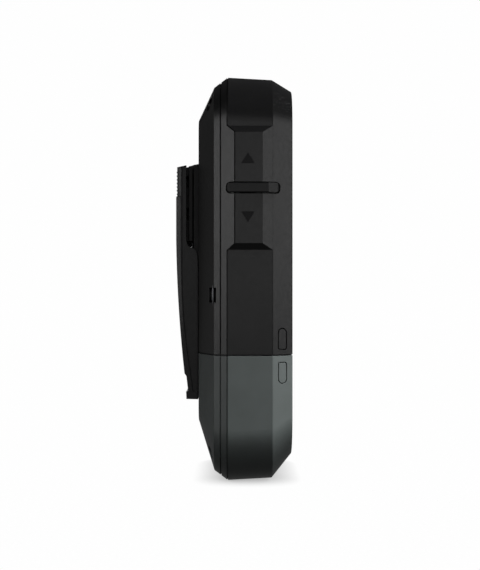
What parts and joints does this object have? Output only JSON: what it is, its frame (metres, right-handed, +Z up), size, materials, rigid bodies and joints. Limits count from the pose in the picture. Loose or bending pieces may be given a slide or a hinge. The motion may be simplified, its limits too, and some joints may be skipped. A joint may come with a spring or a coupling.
{
  "type": "radar detector",
  "caption": "Slim cordless radar detector with a side jog lever, a sprung pocket clip on its back and a slide-off battery tray at its lower end.",
  "frame": {"origin": "at the foot pads on the lower end, in the housing's middle plane, 15.2 mm behind the front face", "axes": "+Z up the unit towards the horn end, -Y out of the display face, +Y out of the clip side, -X out of the side with the jog lever"},
  "size_m": [0.0726, 0.0386, 0.1342],
  "materials": {
    "black_shell": "fine matt texture",
    "black_frame": "fine matt texture",
    "grey_shell": "fine matt texture, slightly green grey",
    "inner_plastic": "plain moulded",
    "key_plastic": "satin",
    "jog_plastic": "satin",
    "mark_ink": "matt inlay",
    "window": "glossy dark pane",
    "panel": "display glass and frame",
    "light": "translucent red",
    "lens": "dark red, glossy",
    "rubber": "matt",
    "grip": "matt, ribbed",
    "board": "solder-masked laminate",
    "chips": "moulded packages",
    "steel": "plated",
    "dark_steel": "black oxide",
    "horn_metal": "cast, satin",
    "cell_wrap": "printed sleeve over metal",
    "contact": "gold-plated",
    "clip_plastic": "fine matt texture"
  },
  "bodies": {
    "main": {"front_cover": "black_shell", "mid_frame": "black_frame", "rear_shell": "black_shell", "lanyard_bar": "dark_steel", "shell_gasket": "rubber", "housing_screws": "steel", "display_window": "window", "display_panel": "panel", "alert_light": "light", "keypad_membrane": "rubber", "keypad_board": "board", "speaker_mesh": "dark_steel", "speaker": "dark_steel", "laser_lens": "lens", "laser_receiver": "chips", "main_board": "board", "board_screws": "steel", "board_components": "chips", "shield_can": "steel", "horn_antenna": "horn_metal", "contact_block": "inner_plastic", "contact_pins": "contact", "neck_seal": "rubber", "buzzer": "steel", "jog_guide": "inner_plastic", "jog_springs": "steel", "jog_switch": "chips", "arrow_marks": "mark_ink", "release_keepers": "steel", "release_springs": "steel", "clip_base": "clip_plastic", "clip_base_screws": "dark_steel", "clip_pin": "steel", "clip_spring": "dark_steel"},
    "clip": {"clip_lever": "clip_plastic", "clip_grip_pad": "grip"},
    "jog": {"jog_lever": "jog_plastic"},
    "power_key": {"power_button": "key_plastic"},
    "mode_key": {"mode_button": "key_plastic"},
    "mute_key": {"mute_button": "key_plastic"},
    "release_left": {"release_button_left": "black_shell"},
    "release_right": {"release_button_right": "black_shell"},
    "tray": {"tray_front_cover": "grey_shell", "tray_mid_frame": "grey_shell", "tray_rear_shell": "grey_shell", "battery_cradle": "inner_plastic", "contact_pads": "contact", "battery_cells": "cell_wrap", "cell_springs": "steel", "cell_plates": "steel", "tray_screws": "steel", "deck_screws": "steel", "tray_keepers": "steel", "tray_springs": "steel", "foot_pads": "rubber"},
    "tray_latch_left": {"tray_button_left": "grey_shell"},
    "tray_latch_right": {"tray_button_right": "grey_shell"}
  },
  "joints": [
    {"name": "clip_hinge", "type": "hinge", "parent": "main", "child": "clip", "pos_m": [0, 0.0187, 0.07534], "axis": [1, 0, 0], "range_deg": [0, 3.2], "stiffness_Nm_per_rad": 0.12, "springref_deg": -51.57, "deforming": ["clip_spring"]},
    {"name": "jog_slide", "type": "slide", "parent": "main", "child": "jog", "axis": [0, 0, 1], "range_m": [-0.0009, 0.0009], "stiffness_N_per_m": 300, "deforming": ["jog_springs"]},
    {"name": "power_press", "type": "slide", "parent": "main", "child": "power_key", "axis": [0, 1, 0], "range_m": [0, 0.0005], "stiffness_N_per_m": 250, "springref_m": -0.0012},
    {"name": "mode_press", "type": "slide", "parent": "main", "child": "mode_key", "axis": [0, 1, 0], "range_m": [0, 0.0005], "stiffness_N_per_m": 250, "springref_m": -0.0012},
    {"name": "mute_press", "type": "slide", "parent": "main", "child": "mute_key", "axis": [0, 1, 0], "range_m": [0, 0.0005], "stiffness_N_per_m": 250, "springref_m": -0.0012},
    {"name": "release_left_press", "type": "slide", "parent": "main", "child": "release_left", "axis": [0.908, 0.4191, 0], "range_m": [0, 0.0008], "stiffness_N_per_m": 250, "springref_m": -0.0012, "deforming": ["release_springs"]},
    {"name": "release_right_press", "type": "slide", "parent": "main", "child": "release_right", "axis": [-0.908, 0.4191, 0], "range_m": [0, 0.0008], "stiffness_N_per_m": 250, "springref_m": -0.0012, "deforming": ["release_springs"]},
    {"name": "tray_slide", "type": "slide", "parent": "main", "child": "tray", "axis": [0, 0, -1], "range_m": [0, 0.025]},
    {"name": "tray_left_press", "type": "slide", "parent": "tray", "child": "tray_latch_left", "axis": [0.908, 0.4191, 0], "range_m": [0, 0.0008], "stiffness_N_per_m": 250, "springref_m": -0.0012, "deforming": ["tray_springs"]},
    {"name": "tray_right_press", "type": "slide", "parent": "tray", "child": "tray_latch_right", "axis": [-0.908, 0.4191, 0], "range_m": [0, 0.0008], "stiffness_N_per_m": 250, "springref_m": -0.0012, "deforming": ["tray_springs"]}
  ]
}
